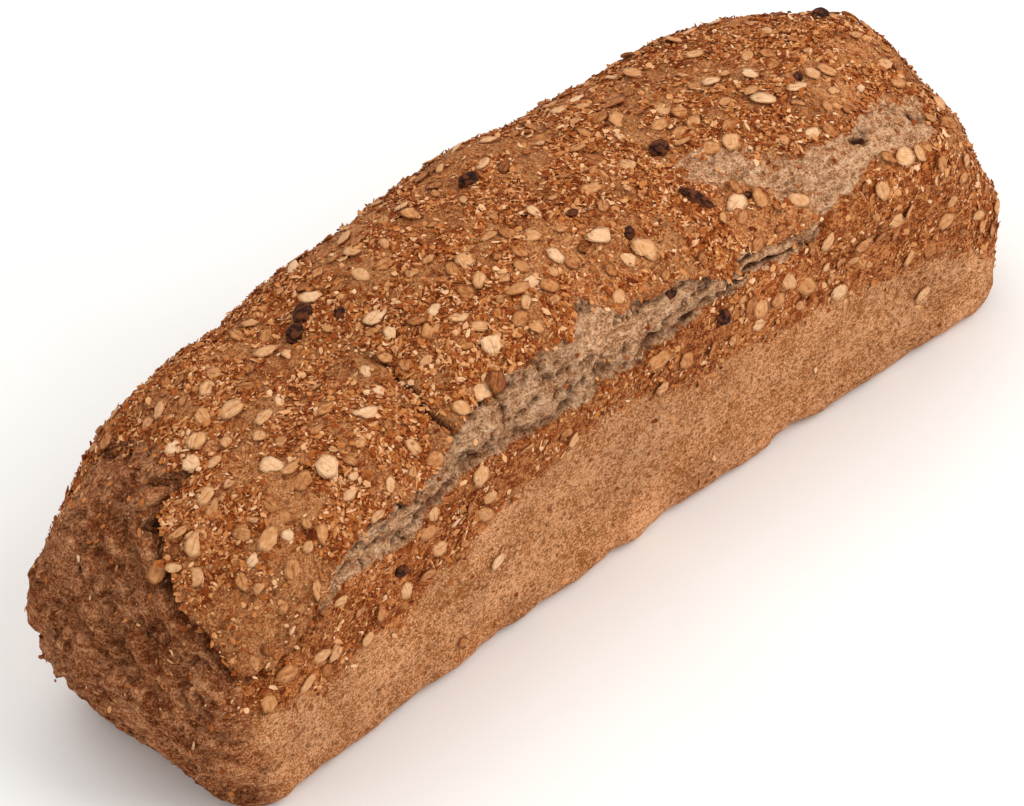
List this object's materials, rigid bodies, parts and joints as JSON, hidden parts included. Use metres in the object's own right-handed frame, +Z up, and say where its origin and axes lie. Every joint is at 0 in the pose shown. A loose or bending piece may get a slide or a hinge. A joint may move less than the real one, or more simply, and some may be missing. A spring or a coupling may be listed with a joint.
{
  "type": "tin loaf",
  "caption": "Long wholemeal tin loaf with a domed crust that split along one side, scattered with rolled oats, bran and raisins.",
  "frame": {"origin": "centre of the bounding box in X and Y, on the flat base the loaf stands on", "axes": "+X along the loaf, +Z up from the base, -Y towards the side that split in the oven"},
  "size_m": [0.3234, 0.1034, 0.107],
  "materials": {
    "crust": "matte"
  },
  "bodies": {
    "root": {"loaf": "crust"}
  },
  "joints": []
}
